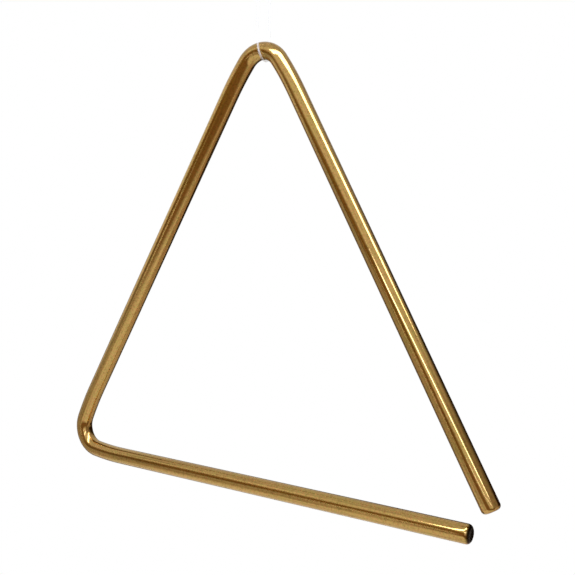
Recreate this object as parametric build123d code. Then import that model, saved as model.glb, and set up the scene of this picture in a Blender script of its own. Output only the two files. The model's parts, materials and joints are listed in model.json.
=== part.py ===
from build123d import *
import math
import os

# A triangle instrument: one round brass bar, bent twice and open at its right-hand corner, which
# hangs in a short loop of clear nylon line. Millimetres, +Z up. The triangle stands in the XZ plane
# and faces -Y, its base is level, and the origin is where a hook carries the loop, inside its top.

# Bent bar
corner_spacing = 211.5  # from corner to corner, where the leg centrelines would meet
bar_diameter = 7.0
nose_radius = 9.8  # of the centreline, at the middle of each bend
shoulder_radius = 127.0  # of the centreline, where a leg eases into its bend
shoulder_turn = 7.0  # degrees that each shoulder turns
base_end_gap = 12.5  # the base's free end stops this short of the open corner
side_end_gap = 10.8  # the right leg's free end stops this short of the open corner
end_rounding = 1.5  # edge of each free end

# Hanging loop
loop_length = 34.0  # inside the loop, from the hook down to the underside of the bar
line_diameter = 0.8
line_clearance = 0.25  # between the line and the bar that swings in it
hook_radius = 2.5  # of the round hook that the loop is made for
loop_ease = 0.4  # half of the flat between the two arcs at each end of the loop

# Knot that closes the loop, on the rear strand
knot_drop = 3.6  # from the hook down to the top of the knot
knot_length = 4.6
knot_diameter = 2.6
knot_neck_diameter = 1.2  # where the line goes in

# An equilateral triangle turns this much at each corner, in degrees
corner_turn = 120.0

bar_radius = bar_diameter / 2
line_radius = line_diameter / 2


# The bend is three tangent arcs: a shoulder, a nose and a shoulder. The nose's centre lies this far
# from each leg's line and this far past the start of the bend.
half_corner = math.radians((180 - corner_turn) / 2)
shoulder_angle = math.radians(shoulder_turn)
centre_spacing = shoulder_radius - nose_radius
nose_offset = shoulder_radius - centre_spacing * math.cos(shoulder_angle)
nose_advance = centre_spacing * math.sin(shoulder_angle)
bend_reach = nose_advance + nose_offset / math.tan(half_corner)
bend_depth = nose_offset / math.sin(half_corner) - nose_radius

# Heights: the bar hangs in the loop by the middle of its upper bend, under the hook
bar_top_centre_z = line_clearance + bar_radius - loop_length
upper_corner_z = bar_top_centre_z + bend_depth
base_z = upper_corner_z - corner_spacing * math.cos(half_corner)


def straight(start, heading, length):
    """A straight run in the XY plane, from a point, along a heading in degrees."""
    step = Vector(length, 0).rotate(Axis.Z, heading)
    return Line(start, start + step)


def bend(run):
    """The shoulder, nose and shoulder arcs that follow a straight run, turning to its right."""
    arcs = []
    previous = run
    nose_turn = corner_turn - 2 * shoulder_turn
    for radius, turn in (
        (shoulder_radius, shoulder_turn),
        (nose_radius, nose_turn),
        (shoulder_radius, shoulder_turn),
    ):
        arc = JernArc(start=previous @ 1, tangent=previous % 1, radius=radius, arc_size=-turn)
        arcs.append(arc)
        previous = arc
    return arcs


def bar_centreline():
    """From the base's free end, round the left and the upper bends, to the right leg's free end."""
    open_corner = Vector(corner_spacing / 2, base_z)
    base_end = open_corner - Vector(base_end_gap, 0)
    base = straight(base_end, 180, corner_spacing - base_end_gap - bend_reach)
    left_bend = bend(base)
    left_leg = straight(left_bend[-1] @ 1, 180 - corner_turn, corner_spacing - 2 * bend_reach)
    upper_bend = bend(left_leg)
    right_leg = straight(
        upper_bend[-1] @ 1,
        180 - 2 * corner_turn,
        corner_spacing - side_end_gap - bend_reach,
    )
    return Wire([base, *left_bend, left_leg, *upper_bend, right_leg])


def swept_round(path, radius):
    """A round section carried along a path of straight runs and tangent arcs."""
    section = Plane(origin=path @ 0, z_dir=path % 0) * Circle(radius)
    return sweep(section, path=path)


def triangle_bar():
    """The bent bar, with both free ends cut square and their edges rounded."""
    path = bar_centreline()
    bar = swept_round(path, bar_radius)
    for end in (path @ 0, path @ 1):
        end_face = bar.faces().filter_by(GeomType.PLANE).sort_by_distance(end)[0]
        bar = fillet(end_face.edges(), end_rounding)
    return Rot(X=90) * bar


# The loop's centreline in the YZ plane: round the bar below, round the hook above, and the knot on
# the rear strand, where the line's two ends meet.
bar_wrap = bar_radius + line_clearance + line_radius
hook_wrap = hook_radius + line_radius
loop_top_z = line_radius
loop_bottom_z = -loop_length - line_radius
top_half_width = hook_wrap + loop_ease
bottom_half_width = bar_wrap + loop_ease


def rear_strand(z):
    """The point of the rear strand's straight line at a height."""
    share = (loop_top_z - z) / (loop_top_z - loop_bottom_z)
    return Vector(0, top_half_width + share * (bottom_half_width - top_half_width), z)


knot_top = rear_strand(-knot_drop)
knot_bottom = rear_strand(-knot_drop - knot_length)

line_route = [
    knot_top,
    Vector(0, top_half_width, loop_top_z),
    Vector(0, -top_half_width, loop_top_z),
    Vector(0, -bottom_half_width, loop_bottom_z),
    Vector(0, bottom_half_width, loop_bottom_z),
    knot_bottom,
]
line_radii = [hook_wrap, hook_wrap, bar_wrap, bar_wrap]


def hanging_line():
    """One unbroken line from the top of the knot, over the hook, under the bar and back to the knot."""
    path = FilletPolyline(*line_route, radius=line_radii)
    line = swept_round(path, line_radius)
    expected = math.pi * line_radius**2 * path.length
    print("line length", round(path.length, 2), "radii", line_radii)
    print("line volume", round(line.volume, 3), "section times length", round(expected, 3))
    return line


def line_knot():
    """The knot as a barrel along the rear strand, with a flat neck at each end for the line."""
    neck = knot_neck_diameter / 2
    flank = ThreePointArc((neck, 0), (knot_diameter / 2, knot_length / 2), (neck, knot_length))
    outline = Polyline((neck, knot_length), (0, knot_length), (0, 0), (neck, 0))
    half_section = make_face([flank, outline])
    barrel = revolve(Plane.XZ * half_section, axis=Axis.Z)
    return Plane(origin=knot_bottom, z_dir=knot_top - knot_bottom) * barrel


os.makedirs("parts", exist_ok=True)
for node in (triangle_bar, hanging_line, line_knot):
    export_step(node(), f"parts/{node.__name__}.step")
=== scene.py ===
import json
import math
import bpy
from mathutils import Matrix, Vector


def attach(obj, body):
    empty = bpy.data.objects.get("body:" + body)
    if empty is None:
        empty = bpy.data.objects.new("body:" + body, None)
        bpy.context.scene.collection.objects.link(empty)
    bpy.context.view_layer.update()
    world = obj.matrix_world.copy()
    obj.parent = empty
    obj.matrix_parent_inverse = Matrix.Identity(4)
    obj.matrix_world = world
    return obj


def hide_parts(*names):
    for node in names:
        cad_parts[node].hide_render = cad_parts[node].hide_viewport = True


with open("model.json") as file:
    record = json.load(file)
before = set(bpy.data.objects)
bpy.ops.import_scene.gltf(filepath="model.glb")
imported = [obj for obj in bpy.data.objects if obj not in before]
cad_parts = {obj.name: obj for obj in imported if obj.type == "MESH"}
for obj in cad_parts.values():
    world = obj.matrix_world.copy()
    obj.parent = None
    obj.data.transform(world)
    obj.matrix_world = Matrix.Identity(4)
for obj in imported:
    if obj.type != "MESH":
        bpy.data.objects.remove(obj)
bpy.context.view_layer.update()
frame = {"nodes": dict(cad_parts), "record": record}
print("frame loaded, nodes:", ", ".join(sorted(frame["nodes"])))

mm = 0.001
swing = next(j for j in frame["record"]["behaviour"]["joints"] if j["name"] == "bar_swing")
loopOnBar = Vector(swing["pos_m"])  # middle of the bar where it hangs in its loop


# general helpers

def linearColour(code):
    channels = [int(code[i:i + 2], 16) / 255 for i in (1, 3, 5)]
    return [c / 12.92 if c <= 0.04045 else ((c + 0.055) / 1.055) ** 2.4 for c in channels] + [1.0]


def addNode(tree, kind, settings=None, inputs=None, links=None):
    node = tree.nodes.new(kind)
    for name, value in (settings or {}).items():
        setattr(node, name, value)
    for name, value in (inputs or {}).items():
        node.inputs[name].default_value = value
    for name, output in (links or {}).items():
        tree.links.new(output, node.inputs[name])
    return node


def newMaterial(name):
    material = bpy.data.materials.new(name)
    material.use_nodes = True
    material.node_tree.nodes.clear()
    return material, material.node_tree


def deselectAll():
    if bpy.context.mode != "OBJECT":
        bpy.ops.object.mode_set(mode="OBJECT")
    bpy.ops.object.select_all(action="DESELECT")


def selectParts(piece, kind, test):
    # selects the vertices, edges or faces of a mesh in edit mode that pass a test
    bpy.ops.mesh.select_mode(type={"vertices": "VERT", "edges": "EDGE", "polygons": "FACE"}[kind])
    bpy.ops.mesh.select_all(action="DESELECT")
    bpy.ops.object.mode_set(mode="OBJECT")
    for part in getattr(piece.data, kind):
        part.select = test(part)
    bpy.ops.object.mode_set(mode="EDIT")


def applyPlace(piece):
    deselectAll()
    piece.select_set(True)
    bpy.context.view_layer.objects.active = piece
    bpy.ops.object.transform_apply(location=True, rotation=True, scale=True)


def newCord(name, routes, lineSize, steps, capped):
    # the line's round section along one or more routes
    curve = bpy.data.curves.new(name, "CURVE")
    curve.dimensions = "3D"
    for route in routes:
        spline = curve.splines.new("NURBS")
        spline.points.add(len(route) - 1)
        for point, place in zip(spline.points, route):
            point.co = (*place, 1.0)
        spline.order_u = min(3, len(route))
        spline.use_endpoint_u = True
        spline.resolution_u = steps
    curve.bevel_depth = lineSize["diameter"] / 2
    curve.bevel_resolution = lineSize["roundness"]
    curve.use_fill_caps = capped
    piece = bpy.data.objects.new(name, curve)
    bpy.context.collection.objects.link(piece)
    return piece


# camera at the photograph's place, found by fitting the bar's outline

photoView = {
    "azimuth": 34.55,  # degrees to the triangle's right
    "elevation": 2.77,
    "roll": 1.62,
    "distance": 0.3320,
    "target": Vector((0.01481, 0.0, -0.12197)),
    "lens": 53.9,  # mm, on a 36 mm sensor across the square frame
    "nearest": 0.01,
}


def viewAxes(view):
    a = math.radians(view["azimuth"])
    e = math.radians(view["elevation"])
    back = Vector((math.sin(a) * math.cos(e), -math.cos(a) * math.cos(e), math.sin(e)))
    right = Vector((math.cos(a), math.sin(a), 0.0))
    up = back.cross(right)
    r = math.radians(view["roll"])
    tiltedRight = right * math.cos(r) + up * math.sin(r)
    tiltedUp = up * math.cos(r) - right * math.sin(r)
    return tiltedRight, tiltedUp, back


def makeCamera(view):
    right, up, back = viewAxes(view)
    camera = bpy.data.objects.new("camera", bpy.data.cameras.new("camera"))
    bpy.context.collection.objects.link(camera)
    camera.data.lens = view["lens"]
    camera.data.clip_start = view["nearest"]
    turn = Matrix((right, up, back)).transposed()
    camera.matrix_world = Matrix.Translation(view["target"] + back * view["distance"]) @ turn.to_4x4()
    bpy.context.scene.camera = camera


makeCamera(photoView)
print("camera set")


# hanging line: one clear nylon line, from its knot over the hook, under the bar and back to the knot

line = {
    "diameter": 0.8 * mm,
    "roundness": 5,  # of its section
    "steps": 16,  # between the points of its route
    "topHalfWidth": 3.3 * mm,
    "bottomHalfWidth": 4.0 * mm,  # tight round the bar
    "wrapDepth": 3.95 * mm,  # middle of the bar down to the middle of the line
    "slant": (-0.4 * mm, 1.9 * mm, 0.1 * mm, 0.0),  # along the bar, at the points beside it
    "knotTop": Vector((0.0, 3.444 * mm, -3.6 * mm)),
    "knotBottom": Vector((0.0, 3.609 * mm, -8.2 * mm)),
}


def makeHangingLine(size):
    top = size["diameter"] / 2
    bottom = loopOnBar.z - size["wrapDepth"]
    nearBar = loopOnBar.z + size["wrapDepth"]  # as far over the bar as the bottom is under it
    front = -size["bottomHalfWidth"]
    rear = size["bottomHalfWidth"]
    slant = size["slant"]
    route = [
        size["knotTop"],
        Vector((0.0, size["topHalfWidth"], top)),
        Vector((0.0, -size["topHalfWidth"], top)),
        Vector((slant[0], front, nearBar)),
        Vector((slant[1], front, bottom)),
        Vector((slant[2], rear, bottom)),
        Vector((slant[3], rear, nearBar)),
        size["knotBottom"],
    ]
    return newCord("hangingLine", [route], size, size["steps"], False)


hangingLine = makeHangingLine(line)
print("hanging line laid")


# knot: a barrel of tight turns round the line, with one strand back over them and two short tails

knot = {
    "turns": 4,
    "pitch": 0.84 * mm,
    "turnRadius": 0.78 * mm,
    "firstTurn": 0.62 * mm,  # above the knot's lower end
    "stepsPerTurn": 12,
    "steps": 8,  # between the points of its route
    # height above the first turn, distance from the line, and angle round it in radians
    "tailIn": [(-1.32 * mm, 2.4 * mm, -0.5), (-0.48 * mm, 1.32 * mm, -0.3)],
    "overAndOut": [
        (3.66 * mm, 1.16 * mm, 0.9),
        (2.86 * mm, 1.45 * mm, 1.4),
        (1.6815 * mm, 1.55 * mm, 1.7),
        (0.2 * mm, 1.45 * mm, 2.1),
        (-0.5 * mm, 1.5225 * mm, 2.6),
        (-1.2 * mm, 2.4 * mm, 2.9),
    ],
}


def makeKnot(size, lineSize):
    along = (lineSize["knotTop"] - lineSize["knotBottom"]).normalized()
    side = Vector((1.0, 0.0, 0.0))
    rear = side.cross(along)

    def place(height, radius, angle):
        spoke = side * math.cos(angle) + rear * math.sin(angle)
        return lineSize["knotBottom"] + along * (size["firstTurn"] + height) + spoke * radius

    wrap = [place(*point) for point in size["tailIn"]]
    steps = size["turns"] * size["stepsPerTurn"]
    for i in range(steps + 1):
        turn = size["turns"] * i / steps
        wrap.append(place(turn * size["pitch"], size["turnRadius"], turn * math.tau))
    # back down over the turns on the rear, then out as the second tail
    wrap += [place(*point) for point in size["overAndOut"]]
    straight = [lineSize["knotBottom"], lineSize["knotTop"]]
    return newCord("lineKnot", [wrap, straight], lineSize, size["steps"], True)


lineKnot = makeKnot(knot, line)
print("knot tied")


# triangle bar: cut straight, its ends rounded, then bent as it is on a bench

bar = {
    "cornerSpacing": 211.5 * mm,
    "diameter": 7.0 * mm,
    "noseRadius": 9.8 * mm,  # centreline, middle of each bend
    "shoulderRadius": 127.0 * mm,  # centreline, where a leg eases into its bend
    "shoulderTurn": 7.0,  # degrees
    "cornerTurn": 120.0,
    "baseEndGap": 12.5 * mm,
    "sideEndGap": 10.8 * mm,
    "endRounding": 1.5 * mm,
    "roundingSteps": 6,
    "facedRings": (0.12, 0.3, 0.3),  # of the end's flat, from its rim inwards
    "baseEndShade": (20, 50),  # degrees round the rim over which the near-black painted shade of the base's sawn end fades in
    # the same for the near-black painted shade on the right leg's sawn end
    "sideEndShade": (66, 88),
    "flattening": 0.012,  # how much the tight bends go oval
    "sides": 96,
    "noseSteps": 60,
    "shoulderSteps": 12,
    "legSteps": 40,
    "smoothAngle": 40,  # degrees
}


def barSections(size):
    # lengths and turns of the straight runs and arcs, from the base's free end
    shoulder = math.radians(size["shoulderTurn"])
    corner = math.radians(size["cornerTurn"])
    half = (math.pi - corner) / 2
    spread = size["shoulderRadius"] - size["noseRadius"]
    noseOffset = size["shoulderRadius"] - spread * math.cos(shoulder)
    reach = spread * math.sin(shoulder) + noseOffset / math.tan(half)
    depth = noseOffset / math.sin(half) - size["noseRadius"]
    bend = [
        ("shoulder", size["shoulderRadius"], shoulder, size["shoulderSteps"]),
        ("nose", size["noseRadius"], corner - 2 * shoulder, size["noseSteps"]),
        ("shoulder", size["shoulderRadius"], shoulder, size["shoulderSteps"]),
    ]
    base = size["cornerSpacing"] - size["baseEndGap"] - reach
    leftLeg = size["cornerSpacing"] - 2 * reach
    rightLeg = size["cornerSpacing"] - size["sideEndGap"] - reach
    plan = [("leg", base), *bend, ("leg", leftLeg), *bend, ("leg", rightLeg)]

    upperCorner = loopOnBar.z + depth
    baseZ = upperCorner - size["cornerSpacing"] * math.cos(half)
    spot = Vector((size["cornerSpacing"] / 2 - size["baseEndGap"], 0.0, baseZ))
    heading = math.pi
    start = 0.0
    sections = []
    for kind, first, *rest in plan:
        radius, turn, steps = (first, *rest) if rest else (0.0, 0.0, size["legSteps"])
        length = radius * turn if rest else first
        section = {"kind": kind, "start": start, "length": length, "radius": radius, "steps": steps}
        section["spot"] = spot.copy()
        section["heading"] = heading
        sections.append(section)
        spot, heading = sectionFrame(section, length)
        start += length
    return sections


def sectionFrame(section, travel):
    # place and heading on the centreline, some way along a section
    heading = section["heading"]
    ahead = Vector((math.cos(heading), 0.0, math.sin(heading)))
    if not section["radius"]:
        return section["spot"] + ahead * travel, heading
    radius = section["radius"]
    toRight = Vector((math.sin(heading), 0.0, -math.cos(heading)))
    centre = section["spot"] + toRight * radius
    newHeading = heading - travel / radius
    newRight = Vector((math.sin(newHeading), 0.0, -math.cos(newHeading)))
    return centre - newRight * radius, newHeading


def paintedShadeShare(place, length, size):
    # share of painted shade: 1 on the face that the saw left, which is painted near-black, fading in
    # over part of the rounded rim; 0 on the polished bar
    flatRadius = size["diameter"] / 2 - size["endRounding"]
    fromBase = place.x < length / 2
    fromEnd = place.x if fromBase else length - place.x
    if fromEnd > size["endRounding"]:
        return 0.0
    lift = (math.hypot(place.y, place.z) - flatRadius) / size["endRounding"]
    turn = math.degrees(math.acos(min(max(lift, 0.0), 1.0)))
    low, high = size["baseEndShade"] if fromBase else size["sideEndShade"]
    return min(max((turn - low) / (high - low), 0.0), 1.0)


def makeBar(size):
    sections = barSections(size)
    length = sections[-1]["start"] + sections[-1]["length"]
    radius = size["diameter"] / 2
    deselectAll()
    bpy.ops.mesh.primitive_cylinder_add(
        vertices=size["sides"],
        radius=radius,
        depth=length,
        end_fill_type="NGON",
        location=(length / 2, 0.0, 0.0),
        rotation=(0.0, math.pi / 2, 0.0),
    )
    piece = bpy.context.object
    piece.name = "triangleBar"
    piece.data.name = "triangleBar"
    applyPlace(piece)
    mesh = piece.data
    bpy.ops.object.mode_set(mode="EDIT")

    # rounded rims, then a faced ring inside each end
    selectParts(piece, "polygons", lambda f: abs(f.normal.x) > 0.9)  # both ends
    bpy.ops.mesh.region_to_loop()
    bpy.ops.mesh.bevel(
        offset=size["endRounding"], segments=size["roundingSteps"], profile=0.5, affect="EDGES"
    )
    selectParts(piece, "polygons", lambda f: abs(f.normal.x) > 0.99)  # their flats
    flatRadius = radius - size["endRounding"]
    for share in size["facedRings"]:
        bpy.ops.mesh.inset(thickness=flatRadius * share)

    # rings at every change of section, then along each section
    for section in sections[1:]:
        bpy.ops.mesh.select_all(action="SELECT")
        bpy.ops.mesh.bisect(plane_co=(section["start"], 0.0, 0.0), plane_no=(1.0, 0.0, 0.0))
    for section in sections:
        low = section["start"]
        high = low + section["length"]

        def lengthwise(edge, low=low, high=high):
            ends = sorted(mesh.vertices[i].co.x for i in edge.vertices)
            within = ends[0] > low - 0.1 * mm and ends[1] < high + 0.1 * mm
            return within and ends[1] - ends[0] > 0.5 * (high - low)

        selectParts(piece, "edges", lengthwise)
        bpy.ops.mesh.subdivide(number_cuts=section["steps"] - 1)
    bpy.ops.object.mode_set(mode="OBJECT")

    # the straight bar's own coordinates, kept so that drawing marks follow the bends
    drawn = mesh.attributes.new("drawnPlace", "FLOAT_VECTOR", "POINT")
    drawn.data.foreach_set("vector", [c for v in mesh.vertices for c in v.co])
    strain = mesh.attributes.new("bendStrain", "FLOAT", "POINT")
    # share of the near-black painted shade on the sawn ends, which also makes them rougher
    shadeMask = mesh.attributes.new("cutFace", "FLOAT", "POINT")
    for vertex in mesh.vertices:
        shadeMask.data[vertex.index].value = paintedShadeShare(vertex.co, length, size)
        travel = min(max(vertex.co.x, 0.0), length)
        section = next(s for s in reversed(sections) if travel >= s["start"] - 1e-9)
        within = travel - section["start"]
        spot, heading = sectionFrame(section, within)
        outward = Vector((-math.sin(heading), 0.0, math.cos(heading)))
        share = within / section["length"]
        oval = size["flattening"] * math.sin(math.pi * share) ** 2 if section["kind"] == "nose" else 0.0
        strain.data[vertex.index].value = oval / size["flattening"]
        across = vertex.co.y * (1 + oval)
        out = vertex.co.z * (1 - oval)
        vertex.co = spot + outward * out + Vector((0.0, -across, 0.0))
    mesh.update()

    bpy.ops.object.mode_set(mode="EDIT")
    bpy.ops.mesh.select_all(action="SELECT")
    bpy.ops.mesh.normals_make_consistent(inside=False)
    bpy.ops.object.mode_set(mode="OBJECT")
    bpy.ops.object.shade_smooth_by_angle(angle=math.radians(size["smoothAngle"]))
    return piece


triangleBar = makeBar(bar)
print("bar bent,", len(triangleBar.data.polygons), "faces")


# polished brass: drawn through a die and buffed, so it mirrors the room in long bands, with faint
# marks along the bar, a little tarnish between them, slight wear in the colour, and near-black painted
# shade on its sawn ends

brass = {
    "face": "#C39C5E",
    "warm": "#BE8852",
    "olive": "#AF9C54",
    "tarnish": "#5A3A14",
    # near-black painted shade on the sawn ends; the sawn faces are really only rougher, not this dark
    "cutFace": "#1C1108",
    "dieMark": 0.45 * mm,  # width of a drawing mark, drawn coarser than life so that it shows
    "dieMarkLength": 40.0 * mm,
    "grain": 0.8 * mm,  # drawn coarser than life so that it shows
    "smudge": 9.0 * mm,
    "roughness": 0.06,
    "glossSpread": (-0.02, 0.04),  # between the marks and on them
    "bendGloss": 0.05,  # rougher where the bends stretched it
    "cutGloss": 0.08,  # rougher on the sawn faces
    "reliefStrength": 0.02,
    "reliefDepth": 0.01 * mm,
    # tint, pattern, where it begins and is full, and the most of it
    "tints": [
        ("warm", "grainRed", 0.40, 0.65, 0.7),
        ("olive", "grainGreen", 0.42, 0.66, 0.7),
        ("olive", "smudges", 0.45, 0.75, 0.5),
        ("tarnish", "grainBlue", 0.45, 0.75, 0.38),
        ("tarnish", "marks", 0.50, 0.75, 0.5),
    ],
}


def brassMaterial(look):
    material, tree = newMaterial("polishedBrass")
    place = addNode(tree, "ShaderNodeAttribute", {"attribute_name": "drawnPlace"})
    strain = addNode(tree, "ShaderNodeAttribute", {"attribute_name": "bendStrain"})
    shadeMask = addNode(tree, "ShaderNodeAttribute", {"attribute_name": "cutFace"})
    perLength = 1 / look["dieMarkLength"]
    perWidth = 1 / look["dieMark"]
    stretched = addNode(
        tree,
        "ShaderNodeVectorMath",
        {"operation": "MULTIPLY"},
        {1: (perLength, perWidth, perWidth)},
        {0: place.outputs["Vector"]},
    )
    marks = addNode(
        tree,
        "ShaderNodeTexNoise",
        inputs={"Scale": 1.0, "Detail": 3.0, "Roughness": 0.55},
        links={"Vector": stretched.outputs[0]},
    )
    smudges = addNode(
        tree,
        "ShaderNodeTexNoise",
        inputs={"Scale": 1 / look["smudge"], "Detail": 4.0, "Roughness": 0.6},
        links={"Vector": place.outputs["Vector"]},
    )
    grain = addNode(
        tree,
        "ShaderNodeTexNoise",
        inputs={"Scale": 1 / look["grain"], "Detail": 2.0, "Roughness": 0.6},
        links={"Vector": place.outputs["Vector"]},
    )
    grains = addNode(tree, "ShaderNodeSeparateColor", links={0: grain.outputs["Color"]})
    patterns = {
        "grainRed": grains.outputs[0],
        "grainGreen": grains.outputs[1],
        "grainBlue": grains.outputs[2],
        "smudges": smudges.outputs["Fac"],
        "marks": marks.outputs["Fac"],
    }
    under = {"inputs": {6: linearColour(look["face"])}, "links": {}}
    for tint, pattern, low, high, most in look["tints"]:
        amount = addNode(
            tree,
            "ShaderNodeMapRange",
            {"interpolation_type": "SMOOTHSTEP"},
            {"From Min": low, "From Max": high, "To Max": most},
            {"Value": patterns[pattern]},
        )
        mix = addNode(
            tree,
            "ShaderNodeMix",
            {"data_type": "RGBA"},
            {**under["inputs"], 7: linearColour(look[tint])},
            {**under["links"], 0: amount.outputs[0]},
        )
        under = {"inputs": {}, "links": {6: mix.outputs[2]}}
    # painted shade: the sawn ends mixed to near-black
    ended = addNode(
        tree,
        "ShaderNodeMix",
        {"data_type": "RGBA"},
        {7: linearColour(look["cutFace"])},
        {**under["links"], 0: shadeMask.outputs["Fac"]},
    )
    smoother, rougher = look["glossSpread"]
    gloss = addNode(
        tree,
        "ShaderNodeMapRange",
        inputs={"To Min": look["roughness"] + smoother, "To Max": look["roughness"] + rougher},
        links={"Value": marks.outputs["Fac"]},
    )
    bendGloss = addNode(
        tree,
        "ShaderNodeMath",
        {"operation": "MULTIPLY_ADD"},
        {1: look["bendGloss"]},
        {0: strain.outputs["Fac"], 2: gloss.outputs[0]},
    )
    cutGloss = addNode(
        tree,
        "ShaderNodeMath",
        {"operation": "MULTIPLY_ADD"},
        {1: look["cutGloss"]},
        {0: shadeMask.outputs["Fac"], 2: bendGloss.outputs[0]},
    )
    relief = addNode(
        tree,
        "ShaderNodeBump",
        inputs={"Strength": look["reliefStrength"], "Distance": look["reliefDepth"]},
        links={"Height": marks.outputs["Fac"]},
    )
    shader = addNode(
        tree,
        "ShaderNodeBsdfPrincipled",
        inputs={"Metallic": 1.0},
        links={
            "Base Color": ended.outputs[2],
            "Roughness": cutGloss.outputs[0],
            "Normal": relief.outputs["Normal"],
        },
    )
    addNode(tree, "ShaderNodeOutputMaterial", links={"Surface": shader.outputs[0]})
    return material


triangleBar.data.materials.append(brassMaterial(brass))
print("brass finished")


# natural nylon: extruded monofilament, a little milky, so it shows pale on the bar and not on white

nylon = {
    "clear": "#FDFCF8",
    "milk": "#FEFEFC",
    "cloud": 1.5 * mm,
    "roughness": 0.28,
    "hazeSpread": (-0.05, 0.08),
    "index": 1.53,
    "transmission": 0.35,
    "alpha": 0.3,
}


def nylonMaterial(look):
    material, tree = newMaterial("milkyNylon")
    place = addNode(tree, "ShaderNodeTexCoord")
    cloud = addNode(
        tree,
        "ShaderNodeTexNoise",
        inputs={"Scale": 1 / look["cloud"], "Detail": 2.0},
        links={"Vector": place.outputs["Object"]},
    )
    tint = addNode(
        tree,
        "ShaderNodeMix",
        {"data_type": "RGBA"},
        {6: linearColour(look["clear"]), 7: linearColour(look["milk"])},
        {0: cloud.outputs["Fac"]},
    )
    clearer, hazier = look["hazeSpread"]
    haze = addNode(
        tree,
        "ShaderNodeMapRange",
        inputs={"To Min": look["roughness"] + clearer, "To Max": look["roughness"] + hazier},
        links={"Value": cloud.outputs["Fac"]},
    )
    shader = addNode(
        tree,
        "ShaderNodeBsdfPrincipled",
        inputs={
            "IOR": look["index"],
            "Transmission Weight": look["transmission"],
            "Alpha": look["alpha"],
        },
        links={"Base Color": tint.outputs[2], "Roughness": haze.outputs[0]},
    )
    addNode(tree, "ShaderNodeOutputMaterial", links={"Surface": shader.outputs[0]})
    return material


nylonFinish = nylonMaterial(nylon)
hangingLine.data.materials.append(nylonFinish)
lineKnot.data.materials.append(nylonFinish)
print("nylon finished")


# studio: white all round, two softboxes over the camera, two panes beside it, and flags of brown and
# grey cloth, which the bar mirrors as bands. Bearings are in degrees to the right of the camera's
# own, and each cloth has a far of its own, so that a nearer one hangs before the next

studio = {
    "middle": Vector((0.0, 0.0, -0.13)),
    "floorDrop": 0.95,
    "floorRadius": 4.0,
    "floorPaper": (0.88, 0.88, 0.88, 1.0),
    "floorShadow": (0.1, 0.6),  # from its middle, where the shadow starts to fade and where it ends
    "floorWhite": (0.7, 1.0),  # share of plain white in the shadow and past it
    "white": (1.0, 1.0, 1.0, 1.0),
    "fill": 0.5,
    "flagMargin": 5,  # degrees of clear cloth past each feathered edge
    "lamps": [
        {
            "name": "softbox", "bearing": 35.6, "height": 56.2, "tilt": -28, "far": 0.62,
            "size": (0.77, 0.14), "shift": (-0.045, -0.005), "level": 9.0, "colour": "#E3E8FF",
        },
        {
            "name": "wideSoftbox", "bearing": 35.6, "height": 56.2, "tilt": -18.5, "far": 0.62,
            "size": (1.45, 0.17), "shift": (-0.67, 0.08), "level": 9.0, "colour": "#E3E8FF",
        },
        {
            "name": "upperPane", "bearing": -33, "height": 18.1, "tilt": 7, "far": 0.62,
            "size": (0.78, 0.048), "shift": (0.49, 0), "level": 10.4, "colour": "#C4D4FF",
        },
        {
            "name": "lowerPane", "bearing": -1.5, "height": 2.5, "tilt": 9, "far": 0.62,
            "size": (0.41, 0.012), "shift": (0.03, 0), "level": 4.0, "colour": "#C4D4FF",
        },
    ],
    "flags": [
        {
            "name": "endFlag", "bearing": 131, "height": -26, "tilt": 0, "far": 0.64,
            "wide": 34, "tall": 11, "feather": 3, "cloth": "#33241A",
        },
        {
            "name": "edgeFlag", "bearing": 126, "height": -4, "tilt": -10, "far": 0.65,
            "wide": 84, "tall": 20, "feather": 6, "cloth": "#33241A",
        },
        {
            "name": "blackCard", "bearing": 135.6, "height": 6.4, "tilt": -30, "far": 0.66,
            "wide": 96, "tall": 54, "feather": 58, "cloth": "#2E2412",
        },
        {
            "name": "leftFlag", "bearing": -51.7, "height": 7.4, "tilt": -5.5, "far": 0.68,
            "wide": 57.5, "tall": 24.4, "feather": 18.5, "cloth": "#957848",
        },
        {
            "name": "sideFlag", "bearing": -80.6, "height": 4.8, "tilt": 28.6, "far": 0.70,
            "wide": 16.5, "tall": 24, "feather": 19, "cloth": "#7E653A",
        },
        {
            "name": "frontFlag", "bearing": -1, "height": -24, "tilt": -13, "far": 0.72,
            "wide": 96.5, "tall": 30, "feather": 16, "cloth": "#977956",
        },
        {
            "name": "rightNet", "bearing": 91, "height": 4.4, "tilt": -5.5, "far": 0.74,
            "wide": 129, "tall": 47.6, "feather": 16, "cloth": "#AEA396",
        },
        {
            "name": "lowLeftNet", "bearing": -87, "height": -25, "tilt": 0, "far": 0.75,
            "wide": 58, "tall": 26, "feather": 22, "cloth": "#C2BAAE",
        },
        {
            "name": "lowNet", "bearing": 101, "height": -37, "tilt": 12.7, "far": 0.76,
            "wide": 58, "tall": 49, "feather": 40, "cloth": "#CBB6A6",
        },
        {
            "name": "backFlag", "bearing": -175, "height": -18, "tilt": 0, "far": 0.77,
            "wide": 90, "tall": 46, "feather": 20, "cloth": "#867A68",
        },
        {
            "name": "rearNet", "bearing": -160, "height": -25, "tilt": 0, "far": 0.78,
            "wide": 185, "tall": 31, "feather": 14, "cloth": "#C0C0C0",
        },
        {
            "name": "topNet", "bearing": -152, "height": 73, "tilt": 30, "far": 0.80,
            "wide": 86, "tall": 90, "feather": 10, "cloth": "#E2E2E2",
        },
    ],
}


def studioAxes(item):
    # outward direction of a lamp or flag, and the directions of its width and height
    a = math.radians(photoView["azimuth"] + item["bearing"])
    h = math.radians(item["height"])
    t = math.radians(item["tilt"])
    outward = Vector((math.sin(a) * math.cos(h), -math.cos(a) * math.cos(h), math.sin(h)))
    level = Vector((math.cos(a), math.sin(a), 0.0))
    upright = outward.cross(level)
    across = level * math.cos(t) + upright * math.sin(t)
    return outward, across, outward.cross(across)


def placeInStudio(thing, columns, spot):
    thing.matrix_world = Matrix.Translation(spot) @ Matrix(columns).transposed().to_4x4()


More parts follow.
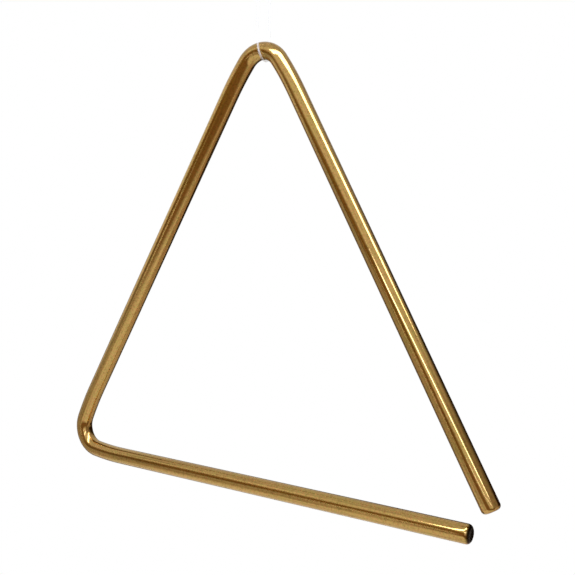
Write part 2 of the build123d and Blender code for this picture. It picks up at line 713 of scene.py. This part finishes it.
def makeLamp(lamp):
    data = bpy.data.lights.new(lamp["name"], "AREA")
    data.shape = "RECTANGLE"
    data.size, data.size_y = lamp["size"]
    data.energy = lamp["level"] * math.pi * data.size * data.size_y
    data.color = linearColour(lamp["colour"])[:3]
    light = bpy.data.objects.new(lamp["name"], data)
    bpy.context.collection.objects.link(light)
    outward, across, upward = studioAxes(lamp)
    sideways, lift = lamp["shift"]
    spot = studio["middle"] + outward * lamp["far"] + across * sideways + upward * lift
    placeInStudio(light, (across, upward, outward), spot)
    light.visible_camera = False


def flagMaterial(flag):
    material, tree = newMaterial(flag["name"] + "Cloth")
    place = addNode(tree, "ShaderNodeTexCoord")
    unit = addNode(
        tree, "ShaderNodeVectorMath", {"operation": "NORMALIZE"}, links={0: place.outputs["Object"]}
    )
    parts = addNode(tree, "ShaderNodeSeparateXYZ", links={0: unit.outputs[0]})
    sideways = addNode(
        tree,
        "ShaderNodeMath",
        {"operation": "ARCTAN2"},
        links={0: parts.outputs["Y"], 1: parts.outputs["X"]},
    )
    upwards = addNode(tree, "ShaderNodeMath", {"operation": "ARCSINE"}, links={0: parts.outputs["Z"]})
    share = []
    for angle, extent in ((sideways, flag["wide"]), (upwards, flag["tall"])):
        offset = addNode(tree, "ShaderNodeMath", {"operation": "ABSOLUTE"}, links={0: angle.outputs[0]})
        inside = addNode(
            tree,
            "ShaderNodeMapRange",
            {"interpolation_type": "SMOOTHSTEP"},
            {
                "From Min": math.radians((extent + flag["feather"]) / 2),
                "From Max": math.radians((extent - flag["feather"]) / 2),
            },
            {"Value": offset.outputs[0]},
        )
        share.append(inside.outputs[0])
    mask = addNode(
        tree, "ShaderNodeMath", {"operation": "MULTIPLY"}, links={0: share[0], 1: share[1]}
    )
    clear = addNode(tree, "ShaderNodeBsdfTransparent")
    cloth = addNode(tree, "ShaderNodeEmission", inputs={"Color": linearColour(flag["cloth"])})
    surface = addNode(
        tree,
        "ShaderNodeMixShader",
        links={0: mask.outputs[0], 1: clear.outputs[0], 2: cloth.outputs[0]},
    )
    addNode(tree, "ShaderNodeOutputMaterial", links={"Surface": surface.outputs[0]})
    return material


def makeFlag(flag):
    # a curved cloth round the object, cut from a sphere, that only mirrors see
    deselectAll()
    bpy.ops.mesh.primitive_uv_sphere_add(segments=90, ring_count=45, radius=flag["far"])
    piece = bpy.context.object
    piece.name = flag["name"]
    bpy.ops.object.mode_set(mode="EDIT")
    margin = flag["feather"] / 2 + studio["flagMargin"]

    def outside(face):
        sideways = math.degrees(math.atan2(face.center.y, face.center.x))
        upwards = math.degrees(math.asin(face.center.normalized().z))
        return abs(sideways) > flag["wide"] / 2 + margin or abs(upwards) > flag["tall"] / 2 + margin

    selectParts(piece, "polygons", outside)
    bpy.ops.mesh.delete(type="FACE")
    bpy.ops.object.mode_set(mode="OBJECT")
    placeInStudio(piece, studioAxes(flag), studio["middle"])
    piece.data.materials.append(flagMaterial(flag))
    piece.visible_camera = False
    piece.visible_diffuse = False
    piece.visible_shadow = False
    piece.visible_transmission = False


def whiteToEye(tree):
    # 1 on rays that the camera, a mirror or clear nylon sends out
    rays = addNode(tree, "ShaderNodeLightPath")
    seen = addNode(
        tree,
        "ShaderNodeMath",
        {"operation": "MAXIMUM"},
        links={0: rays.outputs["Is Camera Ray"], 1: rays.outputs["Is Glossy Ray"]},
    )
    return addNode(
        tree,
        "ShaderNodeMath",
        {"operation": "MAXIMUM"},
        links={0: seen.outputs[0], 1: rays.outputs["Is Transmission Ray"]},
    ).outputs[0]


def makeFloor(drop):
    material, tree = newMaterial("whiteFloor")
    place = addNode(tree, "ShaderNodeTexCoord")
    distance = addNode(
        tree, "ShaderNodeVectorMath", {"operation": "LENGTH"}, links={0: place.outputs["Object"]}
    )
    near, far = studio["floorShadow"]
    shaded, bright = studio["floorWhite"]
    white = addNode(
        tree,
        "ShaderNodeMapRange",
        {"interpolation_type": "SMOOTHSTEP"},
        {"From Min": near, "From Max": far, "To Min": shaded, "To Max": bright},
        {"Value": distance.outputs["Value"]},
    )
    share = addNode(
        tree,
        "ShaderNodeMath",
        {"operation": "MULTIPLY"},
        links={0: white.outputs[0], 1: whiteToEye(tree)},
    )
    paper = addNode(tree, "ShaderNodeBsdfDiffuse", inputs={"Color": studio["floorPaper"]})
    glow = addNode(tree, "ShaderNodeEmission", inputs={"Color": studio["white"]})
    surface = addNode(
        tree,
        "ShaderNodeMixShader",
        links={0: share.outputs[0], 1: paper.outputs[0], 2: glow.outputs[0]},
    )
    addNode(tree, "ShaderNodeOutputMaterial", links={"Surface": surface.outputs[0]})
    deselectAll()
    bpy.ops.mesh.primitive_circle_add(vertices=96, radius=studio["floorRadius"], fill_type="NGON")
    floor = bpy.context.object
    floor.name = "floor"
    floor.location = (0.0, 0.0, -drop)
    floor.data.materials.append(material)


def makeWorld():
    world = bpy.data.worlds.new("whiteStudio")
    world.use_nodes = True
    tree = world.node_tree
    tree.nodes.clear()
    fill = addNode(
        tree, "ShaderNodeBackground", inputs={"Color": studio["white"], "Strength": studio["fill"]}
    )
    white = addNode(tree, "ShaderNodeBackground", inputs={"Color": studio["white"]})
    surface = addNode(
        tree,
        "ShaderNodeMixShader",
        links={0: whiteToEye(tree), 1: fill.outputs[0], 2: white.outputs[0]},
    )
    addNode(tree, "ShaderNodeOutputWorld", links={"Surface": surface.outputs[0]})
    bpy.context.scene.world = world


for lampFacts in studio["lamps"]:
    makeLamp(lampFacts)
for flagFacts in studio["flags"]:
    makeFlag(flagFacts)
makeFloor(studio["floorDrop"])
makeWorld()
bpy.context.scene.view_settings.view_transform = "Standard"
print("studio lit")


# what each piece rides on and stands for

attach(triangleBar, "bar")
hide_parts("triangle_bar")
for piece, node in ((hangingLine, "hanging_line"), (lineKnot, "line_knot")):
    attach(piece, "hanger")
    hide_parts(node)
